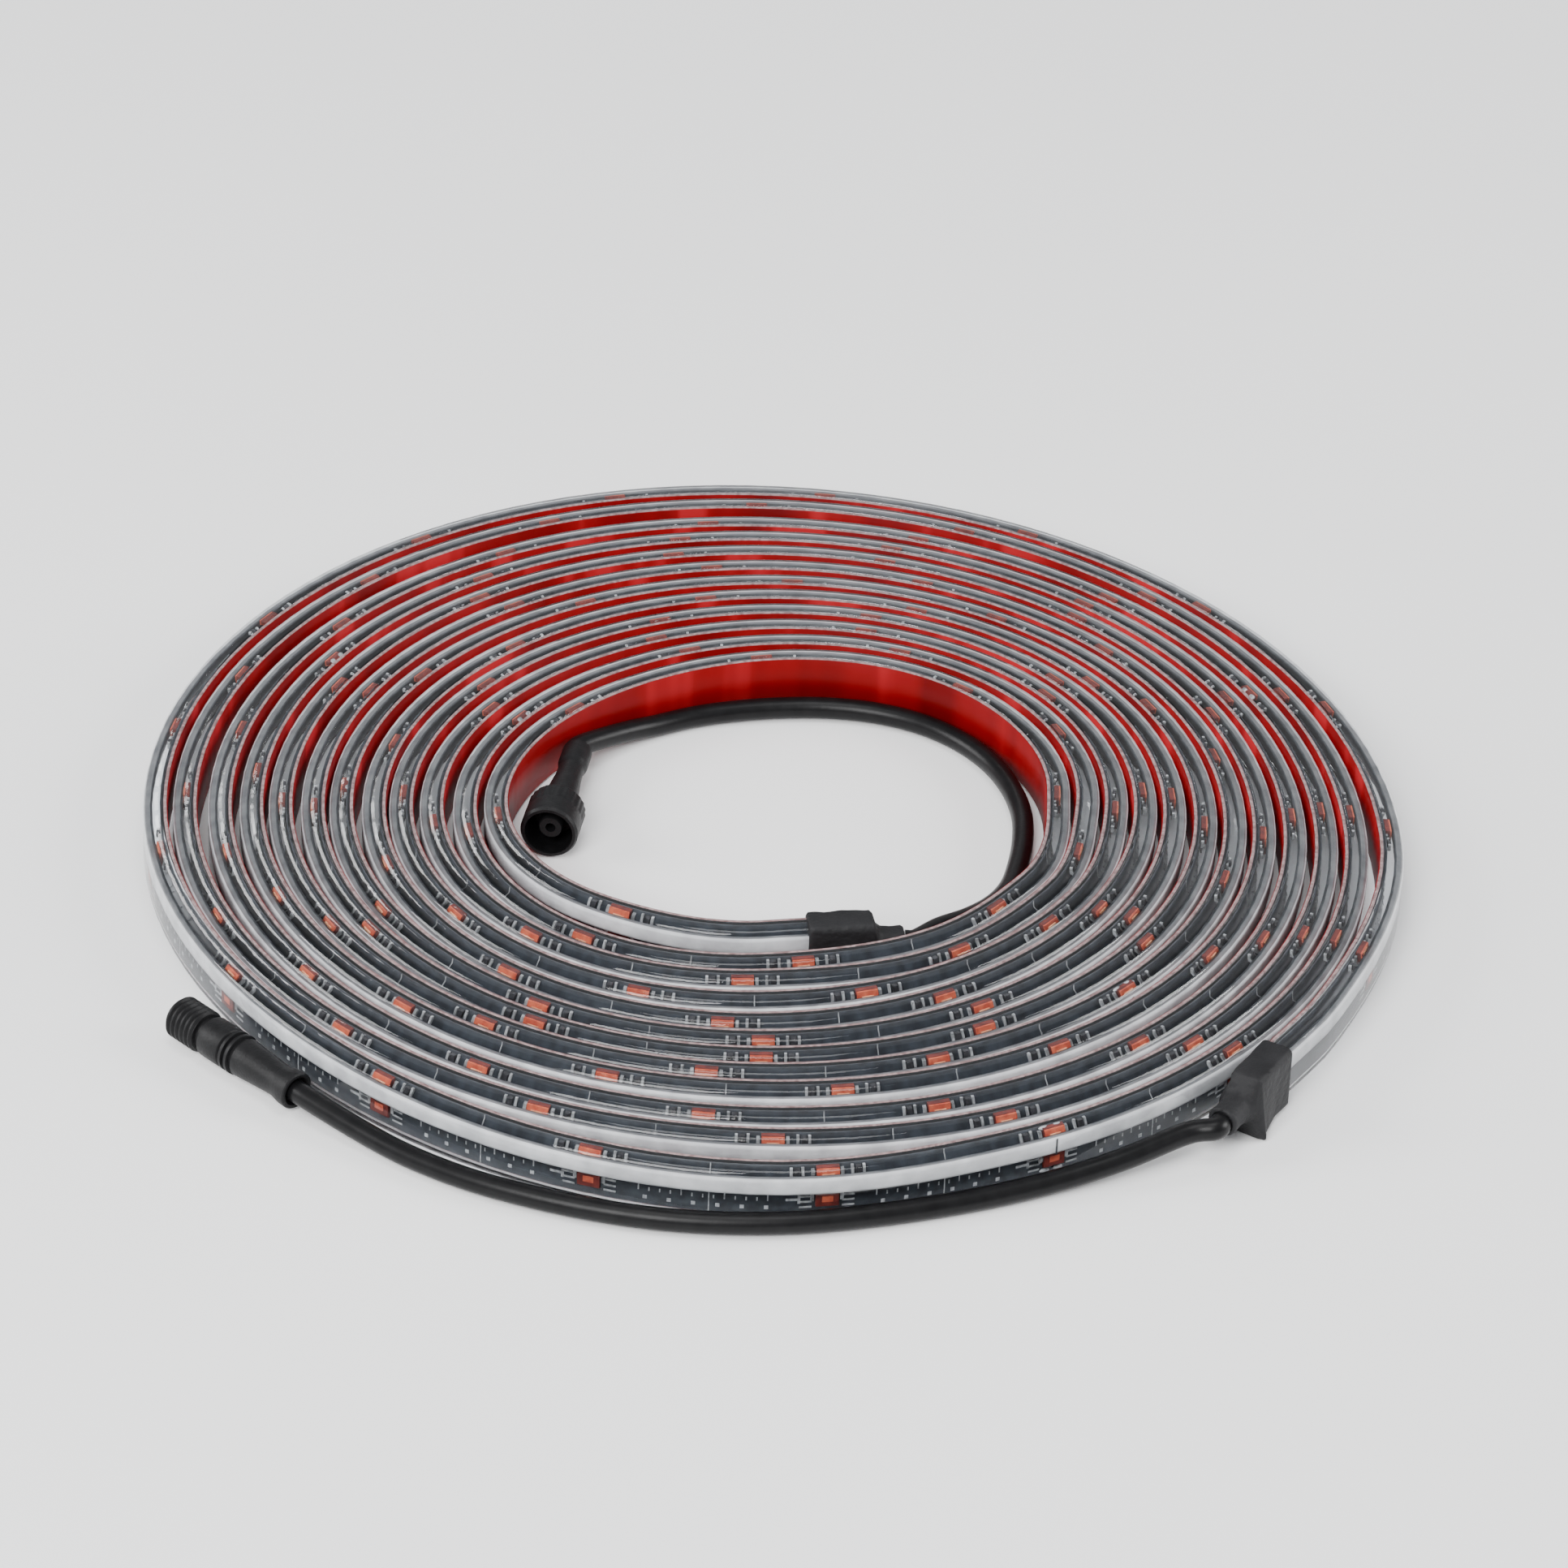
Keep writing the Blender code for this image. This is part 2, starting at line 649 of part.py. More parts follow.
def main():
    clear_scene()
    finishes = {
        "jacket": material("clear_jacket", (0.85, 0.87, 0.88), 0.08, transmission=1.0),
        "diffuser": material("milky_diffuser", (0.86, 0.86, 0.84), 0.45),
        "board": material("black_board", (0.02, 0.022, 0.026), 0.4),
        "tape": material("red_liner", (0.72, 0.02, 0.05), 0.4),
        "cap": material("shrink_cap", (0.03, 0.03, 0.03), 0.55),
        "cord": material("black_cord", (0.03, 0.03, 0.032), 0.45),
        "plug": material("plug_plastic", (0.03, 0.03, 0.032), 0.5),
        "brass": material("pin_metal", (0.75, 0.6, 0.32), 0.3, metallic=1.0),
    }
    build_strip(finishes)
    line = stations()
    outer_frame = CapFrame(line[0], line[1])
    inner_frame = CapFrame(line[-1], line[-2])
    outer_start, outer_way = build_cap(
        "outer_end_cap",
        outer_frame,
        OUTER_CAP_COVER,
        OUTER_CAP_NOSE,
        OUTER_CAP_NECK,
        OUTER_CAP_SHIFT,
        CAP_FLARE,
        finishes["cap"],
    )
    inner_start, inner_way = build_cap(
        "inner_end_cap",
        inner_frame,
        INNER_CAP_COVER,
        INNER_CAP_NOSE,
        INNER_CAP_NECK,
        INNER_CAP_SHIFT,
        0.0,
        finishes["cap"],
    )
    male = build_male_plug(finishes)
    female = build_female_plug(finishes)
    build_cord("outer_cord", outer_start, outer_way, OUTER_CORD_ROUTE, male, finishes["cord"])
    build_cord("inner_cord", inner_start, inner_way, INNER_CORD_ROUTE, female, finishes["cord"])
    bpy.context.view_layer.update()


main()
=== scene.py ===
"""Looks of the coiled LED strip light: camera, light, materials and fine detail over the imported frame.

Lengths are metres. Angles are degrees about the spiral's centre, counter-clockwise from +X, and the
spiral winds inwards that way. The winding's sizes repeat the ones that the frame was built from.
"""

import math

import bmesh
import bpy
import numpy as np
from mathutils import Matrix, Vector, noise


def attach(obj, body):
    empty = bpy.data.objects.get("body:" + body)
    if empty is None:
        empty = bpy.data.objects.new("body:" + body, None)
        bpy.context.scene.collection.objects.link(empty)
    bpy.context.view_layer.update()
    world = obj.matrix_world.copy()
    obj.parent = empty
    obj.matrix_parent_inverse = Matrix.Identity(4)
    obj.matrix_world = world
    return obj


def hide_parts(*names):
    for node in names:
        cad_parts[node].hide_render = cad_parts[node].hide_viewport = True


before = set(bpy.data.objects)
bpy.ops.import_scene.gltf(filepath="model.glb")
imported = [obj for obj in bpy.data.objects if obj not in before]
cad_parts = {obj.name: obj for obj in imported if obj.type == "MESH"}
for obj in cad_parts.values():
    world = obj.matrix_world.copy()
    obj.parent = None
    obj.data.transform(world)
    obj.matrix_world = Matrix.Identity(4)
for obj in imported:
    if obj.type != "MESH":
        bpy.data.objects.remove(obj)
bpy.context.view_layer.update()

# Strip section
HEIGHT = 0.0090
STRIP_DEPTH = 0.00375

# Layers: two depths behind the light face, two heights, corner radii in front and behind, steps to a corner
JACKET = (0.0, 0.00315, 0.0, HEIGHT, 0.0012, 0.0003, 4)
DIFFUSER = (0.00022, 0.0015, 0.0049, 0.0076, 0.0005, 0.0003, 3)
BOARD = (0.00255, 0.00275, 0.0007, 0.0083, 0.00004, 0.00004, 1)
FOAM = (0.00318, 0.00362, 0.0003, 0.0089, 0.00005, 0.00005, 1)
LINER = (0.00364, 0.00375, 0.0003, 0.0088, 0.00004, 0.00004, 1)
# The diffuser's sides in turn: white front with its corners, then the top painted greyer as shade, then the
# back and underside painted dark as shade
DIFFUSER_PAINT = [0] * 7 + [1] + [2] * 8
LAYER_TRIM = 0.0002
LINER_WAVE = 0.00002
WAVES_A_METRE = 60.0

# Winding
COIL_RADIUS = 0.0984
PITCH = 0.00491
START = -42.0
STEP = 15.0
STEPS = 286
END = START + STEPS * STEP
FINE_STEP = 3.0
OVAL = 0.00094
OVAL_PER_TURN = -0.00038
OVAL_ANGLE = -57.5
DRIFT = (0.00003, 0.0005)
END_LIFT = 0.00085
OUTER_END_ROOM = 0.0012
OUTER_END_BLEND = 80.0
INNER_END_BLEND = 100.0
OUTER_STRAIGHT = 5.2
INNER_STRAIGHT = 9.8
# Where the turns lie looser or tighter than an even spiral: degrees along the winding, metres outwards
BULGES = [
    (-45.0, -0.001),
    (-25.0, -0.0026),
    (0.0, -0.0008),
    (45.0, 0.0),
    (180.0, 0.0),
    (225.0, -0.0015),
    (270.0, -0.0001),
    (295.0, -0.0022),
    (360.0, -0.0005),
    (450.0, 0.0004),
    (540.0, 0.0002),
    (630.0, -0.0026),
    (720.0, -0.00035),
    (810.0, -0.00065),
    (900.0, -0.0004),
    (990.0, -0.0023),
    (1080.0, -0.0004),
    (1170.0, -0.00045),
    (1260.0, -0.00045),
    (1350.0, -0.0032),
    (1440.0, -0.0004),
    (1530.0, -0.00025),
    (1620.0, -0.00015),
    (1710.0, -0.002),
    (1800.0, -0.00015),
    (1890.0, -0.00025),
    (1980.0, -0.00035),
    (2070.0, -0.00055),
    (2160.0, 0.00005),
    (2250.0, -0.0002),
    (2340.0, 0.00005),
    (2430.0, 0.00075),
    (2520.0, 0.0),
    (2610.0, 0.00005),
    (2700.0, -0.0002),
    (2790.0, 0.0018),
    (2880.0, 0.0002),
    (2970.0, 0.0001),
    (3060.0, 0.00035),
    (3150.0, 0.0018),
    (3185.0, 0.0022),
    (3215.0, 0.0018),
    (3240.0, 0.0004),
    (3330.0, 0.0001),
    (3420.0, 0.0004),
    (3510.0, 0.0018),
    (3545.0, 0.00385),
    (3573.0, 0.003),
    (3600.0, 0.00065),
    (3690.0, 0.0),
    (3780.0, -0.00005),
    (3870.0, 0.0031),
    (3908.0, 0.005),
    (3933.0, 0.00405),
    (3965.0, 0.00075),
    (4000.0, -0.0001),
    (4140.0, 0.0),
    (4195.0, -0.0008),
    (4233.0, 0.0014),
    (4263.0, 0.0046),
]

# Caps: cover over the strip, nose past its end, neck, and the neck's shift out of the coil
OUTER_CAP = (0.0085, 0.0016, 0.0056, -0.0005)
INNER_CAP = (0.0055, 0.0045, 0.0048, -0.0005)
OUTER_CAP_FLARE = 0.0016
INNER_CAP_FLARE = 0.0
CAP_LUMP = 0.00014
CAP_LUMPS_A_METRE = 600.0
CAP_CORNER_STEPS = 5
CAP_RING_SPACING = 0.0004

# Leads: the routes' points are degrees, metres from the spiral's centre and metres above the floor
CORD_RADIUS = 0.0017
CORD_GAP = 0.0003
RECESS = 0.0012
CORD_SAMPLES = 8
CORD_ROUNDNESS = 6
OUTER_ROUTE = [
    (-49.5, 0.0976, 0.0047),
    (-55.5, 0.0962, 0.0034),
    (-61.5, 0.0949, 0.0022),
    (-67.5, 0.0945, 0.00178),
    (-73.0, 0.0947, 0.00176),
    (-79.0, 0.0953, 0.00176),
    (-85.0, 0.0962, 0.00176),
    (-91.0, 0.0969, 0.00176),
    (-97.0, 0.0974, 0.00176),
    (-103.0, 0.0976, 0.00176),
    (-109.0, 0.0977, 0.00176),
    (-115.0, 0.0978, 0.00176),
    (-121.0, 0.0976, 0.0019),
    (-126.5, 0.0973, 0.0024),
]
INNER_ROUTE = [
    (-42.0, 0.0364, 0.0051),
    (-32.0, 0.0372, 0.0040),
    (-22.0, 0.0380, 0.0028),
    (-12.0, 0.0387, 0.0019),
    (-2.0, 0.0393, 0.00176),
    (8.0, 0.0404, 0.00176),
    (18.0, 0.0419, 0.00176),
    (28.0, 0.0432, 0.00176),
    (38.0, 0.0443, 0.00176),
    (48.0, 0.0448, 0.00176),
    (58.0, 0.0446, 0.00176),
    (68.0, 0.0436, 0.00176),
    (78.0, 0.0421, 0.00176),
    (88.0, 0.0406, 0.00176),
    (98.0, 0.0395, 0.00176),
    (108.0, 0.0388, 0.00176),
    (118.0, 0.0380, 0.0020),
    (128.0, 0.0374, 0.0030),
]
# Plugs: where each starts, the way it points and its axis's height
MALE_PLUG = ((-0.0667, -0.0714), 136.0, 0.0034)
FEMALE_PLUG = ((-0.0297, 0.0211), -98.5, 0.00455)

# Camera
PHOTO_SIZE = 1932.0
PIXELS = 9400.0
DISTANCE = 1.175
ELEVATION = 33.6
ROLL = 2.45
AIM_HEIGHT = 0.005
AIM_SHIFT = (-24.1, -59.1)
SENSOR = 36.0

# LEDs: their spacing, the angle of one that the photo shows, and the room left at both ends
LED_PITCH = 0.0355
LED_SHOWN_ANGLE = 277.0
LED_END_ROOM = 0.012

# An LED's blocks: limits along the strip, in depth and in height
# The housing is painted dark red-brown on its top and sides, and the face's lower half dark red, as shade;
# the lower core takes the upper face's orange, a shaded copy of the phosphor core above it
LED_HOUSING = ((-0.0017, 0.0017), (0.00182, 0.0025), (0.0022, 0.0082))
LED_LOWER_FACE = ((-0.00165, 0.00165), (0.00162, 0.0018), (0.0023, 0.0050))
LED_UPPER_FACE = ((-0.00165, 0.00165), (0.00162, 0.0018), (0.0051, 0.0081))
LED_LOWER_CORE = ((-0.0008, 0.0008), (0.00156, 0.00164), (0.0030, 0.0040))
LED_UPPER_CORE = ((-0.0009, 0.0009), (0.00156, 0.00164), (0.0064, 0.0075))

# Both sides of an LED: how near and how far along the strip, the front's depth, limits in height
BOARD_FACE = 0.0025
PADS = (
    ((0.0019, 0.0024), 0.0022, (0.0030, 0.0074)),
    ((0.0034, 0.0038), 0.0022, (0.0058, 0.0080)),
    ((0.0051, 0.0055), 0.0021, (0.0058, 0.0080)),
)
RESISTOR = ((0.0041, 0.0049), 0.0020, (0.0062, 0.0078))
TRACK = ((0.0022, 0.0040), 0.0024)
TRACKS = 3
TRACK_FOOT = 0.0018
TRACK_SPACING = 0.0009
TRACK_WIDTH = 0.0003

# Printed marks: places along the strip from the LED before them, and limits along it and in height
PRINT_DEPTH = (0.00248, 0.00254)
TICKS = 13
FIRST_TICK = 0.0075
TICK_SPACING = 0.0016
TICK_LIMITS = (-0.0001, 0.0001)
TICK_FOOT = 0.0030
LONG_TICK = 0.0012
SHORT_TICK = 0.0006
TICKS_A_LONG_ONE = 4
DOTS = 6
FIRST_DOT = 0.0085
DOT_SPACING = 0.0036
DOT = ((-0.0003, 0.0003), (0.0016, 0.0022))
ARROW_PLACE = 0.0305
ARROW_SHAFT = ((-0.0011, 0.0008), (0.0030, 0.0034))
ARROW_HEAD = ((0.0006, 0.0010), (0.0025, 0.0039))
CUT_LINE_PLACE = 0.018
CUT_LINE = ((-0.00008, 0.00008), (0.0008, 0.0082))

# Joints between lengths of board: the first one's place, and the blobs of solder at each
FIRST_JOINT = 0.572
LEDS_A_JOINT = 20
SEAM = ((-0.00014, 0.00014), (0.00018, 0.00024), (0.0049, 0.0076))
BLOB_HEIGHTS = (0.0015, 0.0034, 0.0079)
BLOB_DEPTH = 0.00245
BLOB_OFFSET = 0.0011
BLOB_RADII = (0.0004, 0.00042, 0.0008)
BLOB_LUMP = 0.2

# Floor, sky and lamps: each lamp's name, place, size and power
FLOOR_SIZE = 4.0
FLOOR_DROP = 0.0001
SKY_COLOR = (0.94, 0.96, 1.0, 1.0)
SKY_STRENGTH = 0.38
LAMPS = (
    ("key", (-0.4, -1.0, 0.9), 0.7, 24.0),
    ("left", (-1.3, 0.0, 0.6), 0.7, 18.0),
    ("right", (1.3, 0.0, 0.6), 0.7, 18.0),
    ("rear", (0.0, 1.5, 1.0), 1.4, 2.0),
    ("glint", (-0.22, 1.3, 0.93), 0.1, 0.4),
    ("top", (0.0, -0.2, 1.3), 0.6, 6.0),
)


def smoothstep(t):
    t = min(max(t, 0.0), 1.0)
    return t * t * (3.0 - 2.0 * t)


def bulge(angle):
    """How far outside an even spiral the strip lies."""
    for (angle0, value0), (angle1, value1) in zip(BULGES, BULGES[1:]):
        if angle <= angle1:
            return value0 + (value1 - value0) * smoothstep((angle - angle0) / (angle1 - angle0))
    return BULGES[-1][1]


def end_share(angle):
    """How much of the outer and the inner end there is at an angle: 1 at the end, 0 in the coil."""
    outer = smoothstep(1.0 - (angle - START - STEP) / OUTER_END_BLEND)
    inner = smoothstep(1.0 - (END - STEP - angle) / INNER_END_BLEND)
    return outer, inner


def spiral_point(angle):
    """A point of the light face's lower edge, about the spiral's own centre."""
    turns = angle / 360.0
    radius = COIL_RADIUS - PITCH * turns + OUTER_END_ROOM * end_share(angle)[0] + bulge(angle)
    radius += (OVAL + OVAL_PER_TURN * turns) * math.cos(2.0 * math.radians(angle - OVAL_ANGLE))
    a = math.radians(angle)
    x = DRIFT[0] * turns + radius * math.cos(a)
    return Vector((x, DRIFT[1] * turns + radius * math.sin(a), 0.0))


corners = np.array([spiral_point(START + k * STEP)[:2] for k in range(STEPS + 1)])
MIDDLE = Vector((*((corners.min(axis=0) + corners.max(axis=0)) / 2.0), 0.0))


def light_face(angle):
    """The light face's lower edge, straight inside the caps and smoothly curved everywhere else."""
    point = spiral_point(angle)
    for end, way, covered in ((START, 1.0, OUTER_STRAIGHT), (END, -1.0, INNER_STRAIGHT)):
        t = (angle - end) * way / STEP
        if t < 1.0:
            straight = spiral_point(end).lerp(spiral_point(end + way * STEP), t)
            point = straight.lerp(point, smoothstep((t * STEP - covered) / (STEP - covered)))
    point -= MIDDLE
    point.z = END_LIFT * max(end_share(angle))
    return point


class Section:
    """A cross-section of the strip, square to its light face."""

    def __init__(self, angle):
        ahead = light_face(min(angle + 0.5, END)) - light_face(max(angle - 0.5, START))
        ahead.z = 0.0
        self.along = ahead.normalized()
        self.inwards = Vector((-self.along.y, self.along.x, 0.0))
        self.base = light_face(angle)

    def at(self, depth, height, along=0.0):
        return self.base + self.inwards * depth + self.along * along + Vector((0.0, 0.0, height))


angles = np.linspace(START, END, int((END - START) / FINE_STEP) + 1)
sections = [Section(a) for a in angles]
spans = [(q.base - p.base).length for p, q in zip(sections, sections[1:])]
run = np.concatenate([[0.0], np.cumsum(spans)])


def section_at(length):
    """The section that stands a length along the strip from its outer end."""
    return Section(float(np.interp(length, run, angles)))


# Materials


def new_material(name, color, roughness, **inputs):
    made = bpy.data.materials.new(name)
    made.use_nodes = True
    shader = made.node_tree.nodes["Principled BSDF"]
    shader.inputs["Base Color"].default_value = (*color, 1.0)
    shader.inputs["Roughness"].default_value = roughness
    for key, value in inputs.items():
        shader.inputs[key.replace("_", " ")].default_value = value
    return made, made.node_tree, shader


def noise_map(tree, scale, detail=3.0, stretch=(1.0, 1.0, 1.0)):
    """Noise in metres: scale is how many features fit in a metre."""
    place = tree.nodes.new("ShaderNodeTexCoord")
    mapping = tree.nodes.new("ShaderNodeMapping")
    mapping.inputs["Scale"].default_value = stretch
    made = tree.nodes.new("ShaderNodeTexNoise")
    made.inputs["Scale"].default_value = scale
    made.inputs["Detail"].default_value = detail
    tree.links.new(place.outputs["Object"], mapping.inputs["Vector"])
    tree.links.new(mapping.outputs["Vector"], made.inputs["Vector"])
    return made.outputs["Fac"]


def ramp(tree, factor, low, high, start=0.35, end=0.65):
    made = tree.nodes.new("ShaderNodeValToRGB")
    made.color_ramp.elements[0].position = start
    made.color_ramp.elements[0].color = (*low, 1.0)
    made.color_ramp.elements[1].position = end
    made.color_ramp.elements[1].color = (*high, 1.0)
    tree.links.new(factor, made.inputs["Fac"])
    return made.outputs["Color"]


def bump(tree, shader, factor, distance, strength=1.0):
    made = tree.nodes.new("ShaderNodeBump")
    made.inputs["Strength"].default_value = strength
    made.inputs["Distance"].default_value = distance
    tree.links.new(factor, made.inputs["Height"])
    tree.links.new(made.outputs["Normal"], shader.inputs["Normal"])


def vary_roughness(tree, shader, factor, low, high):
    made = tree.nodes.new("ShaderNodeMapRange")
    made.inputs["To Min"].default_value = low
    made.inputs["To Max"].default_value = high
    tree.links.new(factor, made.inputs["Value"])
    tree.links.new(made.outputs["Result"], shader.inputs["Roughness"])


def clear_silicone():
    """Clear casting silicone. Light passes straight through it to what it encloses."""
    made, tree, shader = new_material("clear_jacket_look", (0.90, 0.92, 0.94), 0.05, IOR=1.40)
    shader.inputs["Transmission Weight"].default_value = 1.0
    vary_roughness(tree, shader, noise_map(tree, 240.0), 0.02, 0.10)
    bump(tree, shader, noise_map(tree, 160.0, 2.0), 0.00006)
    path = tree.nodes.new("ShaderNodeLightPath")
    through = tree.nodes.new("ShaderNodeBsdfTransparent")
    through.inputs["Color"].default_value = (0.86, 0.88, 0.90, 1.0)
    mix = tree.nodes.new("ShaderNodeMixShader")
    output = tree.nodes["Material Output"]
    tree.links.new(path.outputs["Is Shadow Ray"], mix.inputs["Fac"])
    tree.links.new(shader.outputs["BSDF"], mix.inputs[1])
    tree.links.new(through.outputs["BSDF"], mix.inputs[2])
    tree.links.new(mix.outputs["Shader"], output.inputs["Surface"])
    return made


def board_lacquer():
    made, tree, shader = new_material("board_look", (0.018, 0.021, 0.026), 0.35)
    color = ramp(tree, noise_map(tree, 700.0), (0.012, 0.014, 0.018), (0.028, 0.033, 0.041))
    tree.links.new(color, shader.inputs["Base Color"])
    vary_roughness(tree, shader, noise_map(tree, 300.0), 0.28, 0.5)
    return made


def liner_red():
    """Red release film: it creases across the tape where it is bent. Its colour follows the creases and is
    painted lighter along their crests as highlight, over a real bump.
    """
    made, tree, shader = new_material("liner_look", (0.25, 0.001, 0.004), 0.45)
    shader.inputs["Specular IOR Level"].default_value = 0.12
    creases = noise_map(tree, 95.0, 2.0, (1.0, 1.0, 0.05))
    color = ramp(tree, creases, (0.11, 0.0005, 0.0015), (0.20, 0.001, 0.003), 0.3, 0.56)
    # The crest colour is a painted highlight along the crease crests
    painted_crest_highlight = color.node.color_ramp.elements.new(0.64)
    painted_crest_highlight.color = (0.32, 0.008, 0.012, 1.0)
    tree.links.new(color, shader.inputs["Base Color"])
    vary_roughness(tree, shader, creases, 0.34, 0.56)
    bump(tree, shader, creases, 0.0005)
    return made


def foam():
    made, tree, shader = new_material("foam_look", (0.40, 0.30, 0.30), 0.8)
    color = ramp(tree, noise_map(tree, 1500.0), (0.15, 0.09, 0.09), (0.32, 0.23, 0.23))
    tree.links.new(color, shader.inputs["Base Color"])
    return made


def dark_plastic(name, color, roughness, grain, depth):
    """Dark moulded plastic: grain is how many grains fit in a metre, and depth is their height."""
    made, tree, shader = new_material(name, color, roughness)
    shader.inputs["Specular IOR Level"].default_value = 0.2
    lighter = tuple(1.4 * c + 0.001 for c in color)
    tree.links.new(ramp(tree, noise_map(tree, grain * 0.3), color, lighter), shader.inputs["Base Color"])
    vary_roughness(tree, shader, noise_map(tree, grain * 0.2), roughness - 0.04, roughness + 0.05)
    bump(tree, shader, noise_map(tree, grain), depth)
    return made


def plain(name, low, high, roughness, grain, metallic=0.0):
    """A surface that varies between two colours."""
    made, tree, shader = new_material(name, high, roughness, Metallic=metallic)
    tree.links.new(ramp(tree, noise_map(tree, grain), low, high), shader.inputs["Base Color"])
    return made


MATERIALS = {
    "jacket": clear_silicone(),
    "diffuser": plain("diffuser_look", (0.34, 0.34, 0.345), (0.47, 0.47, 0.475), 0.5, 260.0),
    # The diffuser's top is painted greyer and its back and underside dark, as shade; the dark one also
    # colours the dark seams where lengths of board are joined
    "diffuser_top_painted_shade": plain("diffuser_top_painted_shade_look", (0.07, 0.073, 0.077), (0.13, 0.133, 0.137), 0.5, 260.0),
    "seam_and_painted_shade": plain("seam_and_painted_shade_look", (0.018, 0.019, 0.022), (0.040, 0.043, 0.048), 0.4, 500.0),
    "board": board_lacquer(),
    "liner": liner_red(),
    "foam": foam(),
    "shrink": dark_plastic("shrink_look", (0.011, 0.011, 0.012), 0.6, 700.0, 0.0003),
    "cord": dark_plastic("cord_look", (0.003, 0.003, 0.0034), 0.36, 1500.0, 0.00002),
    "plug": dark_plastic("plug_look", (0.005, 0.005, 0.0055), 0.48, 2600.0, 0.00005),
    "led": plain("led_orange_look", (0.30, 0.045, 0.024), (0.46, 0.10, 0.05), 0.4, 900.0),
    "led_painted_shade": plain("led_painted_shade_look", (0.055, 0.006, 0.005), (0.12, 0.016, 0.011), 0.45, 900.0),
    "phosphor": plain("phosphor_look", (0.48, 0.18, 0.09), (0.62, 0.34, 0.2), 0.45, 1300.0),
    "solder": plain("solder_look", (0.18, 0.185, 0.19), (0.40, 0.41, 0.42), 0.4, 1200.0, 0.3),
    "print": plain("print_look", (0.18, 0.185, 0.19), (0.38, 0.39, 0.40), 0.6, 1500.0),
    "chip": plain("chip_look", (0.010, 0.010, 0.012), (0.03, 0.03, 0.034), 0.4, 1500.0),
    "brass": plain("pin_look", (0.62, 0.46, 0.2), (0.85, 0.68, 0.36), 0.28, 900.0, 1.0),
    "floor": plain("floor_look", (0.96, 0.96, 0.96), (0.98, 0.98, 0.98), 0.7, 6.0),
}


# Mesh helpers


def add_piece(name, bm, material, body="strip", replaces=(), sharp=35.0):
    bmesh.ops.recalc_face_normals(bm, faces=bm.faces)
    mesh = bpy.data.meshes.new(name)
    bm.to_mesh(mesh)
    bm.free()
    mesh.shade_smooth()
    mesh.set_sharp_from_angle(angle=math.radians(sharp))
    mesh.materials.append(MATERIALS[material])
    obj = bpy.data.objects.new(name, mesh)
    bpy.context.scene.collection.objects.link(obj)
    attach(obj, body)
    if replaces:
        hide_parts(*replaces)
    return obj


def skin(bm, rings, paint=None):
    """Joins rings of points into a closed body with flat ends; paint is each side's material number."""
    made = [[bm.verts.new(p) for p in ring] for ring in rings]
    count = len(made[0])
    for first, second in zip(made, made[1:]):
        for i in range(count):
            j = (i + 1) % count
            face = bm.faces.new((first[i], first[j], second[j], second[i]))
            if paint:
                face.material_index = paint[i]
    bm.faces.new(made[0])
    bm.faces.new(made[-1][::-1])


def rounded(d0, d1, h0, h1, front, back, steps):
    """A section outline with rounded corners: front and back are the corner radii."""
    outline = []
    arcs = ((d0, h0, front, 270), (d0, h1, front, 180), (d1, h1, back, 90), (d1, h0, back, 0))
    for d, h, radius, first in arcs:
        middle_d = d + radius if d == d0 else d - radius
        middle_h = h + radius if h == h0 else h - radius
        for k in range(steps + 1):
            a = math.radians(first - 90.0 * k / steps)
            outline.append((middle_d + radius * math.cos(a), middle_h + radius * math.sin(a)))
    return outline


def sweep(name, outline, material, replaces=(), trim=0.0, wave=0.0, paint=None, others=()):
    """Sweeps an outline along the whole strip: trim shortens both ends, wave moves it in and out."""
    rings = []
    for number, s in enumerate(sections):
        shift = trim if number == 0 else -trim if number == len(sections) - 1 else 0.0
        offset = wave * noise.noise(s.base * WAVES_A_METRE) if wave else 0.0
        rings.append([s.at(d + offset, h, shift) for d, h in outline])
    bm = bmesh.new()
    skin(bm, rings, paint)
    obj = add_piece(name, bm, material, replaces=replaces, sharp=50.0)
    for other in others:
        obj.data.materials.append(MATERIALS[other])
    return obj


def block(bm, s, along, depth, height):
    """A box on the strip at a section: each argument is a pair of limits."""
    verts = [bm.verts.new(s.at(d, h, a)) for a in along for d in depth for h in height]
    for f in ((0, 1, 3, 2), (4, 6, 7, 5), (0, 4, 5, 1), (2, 3, 7, 6), (0, 2, 6, 4), (1, 5, 7, 3)):
        bm.faces.new([verts[i] for i in f])


# Camera and leads


def place_camera():
    """The photo's camera, as solved from the coil's outline."""
    e, roll = math.radians(ELEVATION), math.radians(ROLL)
    flat = Vector((0.0, math.sin(e), math.cos(e)))
    back = Vector((0.0, -math.cos(e), math.sin(e)))
    right = Vector((1.0, 0.0, 0.0)) * math.cos(roll) + flat * math.sin(roll)
    up = flat * math.cos(roll) - Vector((1.0, 0.0, 0.0)) * math.sin(roll)
    spot = Vector((-MIDDLE.x, -MIDDLE.y, AIM_HEIGHT)) + back * DISTANCE
    away = (back * PIXELS + right * AIM_SHIFT[0] + up * AIM_SHIFT[1]).normalized()
    right = (right - away * right.dot(away)).normalized()
    up = away.cross(right)
    data = bpy.data.cameras.new("camera")
    data.sensor_width = SENSOR
    data.lens = SENSOR * PIXELS / PHOTO_SIZE
    data.clip_end = 20.0
    camera = bpy.data.objects.new("camera", data)
    camera.matrix_world = Matrix.Translation(spot) @ Matrix((right, up, away)).transposed().to_4x4()
    bpy.context.scene.collection.objects.link(camera)
    bpy.context.scene.camera = camera


